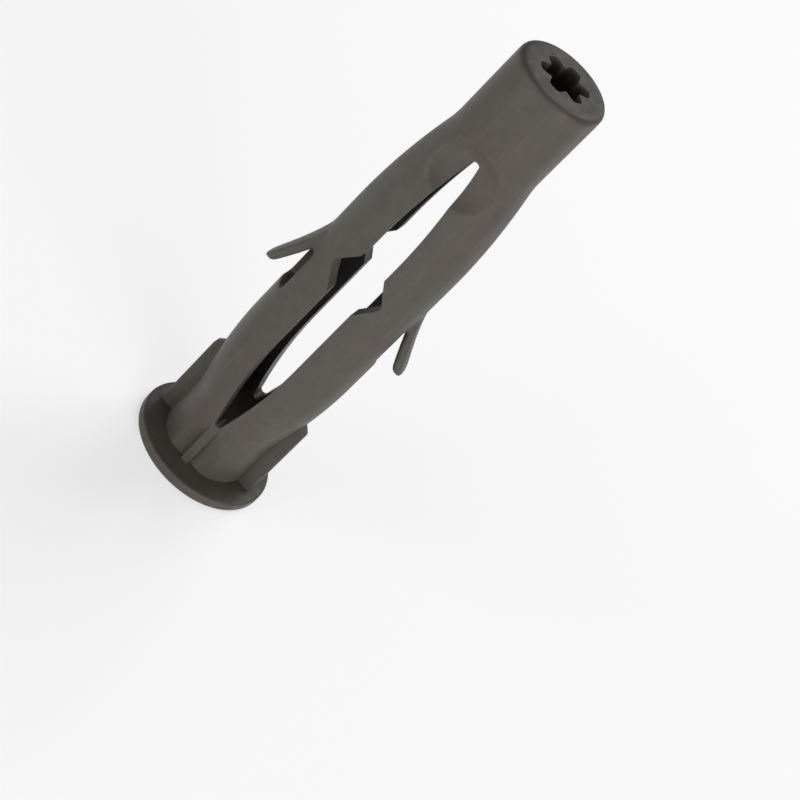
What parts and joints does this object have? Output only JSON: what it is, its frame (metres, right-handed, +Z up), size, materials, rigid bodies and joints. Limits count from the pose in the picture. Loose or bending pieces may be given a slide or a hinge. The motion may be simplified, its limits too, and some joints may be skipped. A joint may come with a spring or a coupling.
{
  "type": "wall plug",
  "caption": "Dark grey nylon expansion wall plug with a round collar, two bowed legs, bent-out barbs, side fins and a star-shaped channel in its tip",
  "frame": {"origin": "centre of the collar's flat underside, on the plug's axis", "axes": "+Z runs up the plug's axis from the collar to the tip; the slit between the legs runs along Y; the fins are at +X and -X"},
  "size_m": [0.014, 0.0124, 0.047],
  "materials": {
    "nylon": "dark warm grey moulded nylon, satin to matt, unpainted"
  },
  "bodies": {
    "root": {"wall_plug": "nylon"}
  },
  "joints": []
}
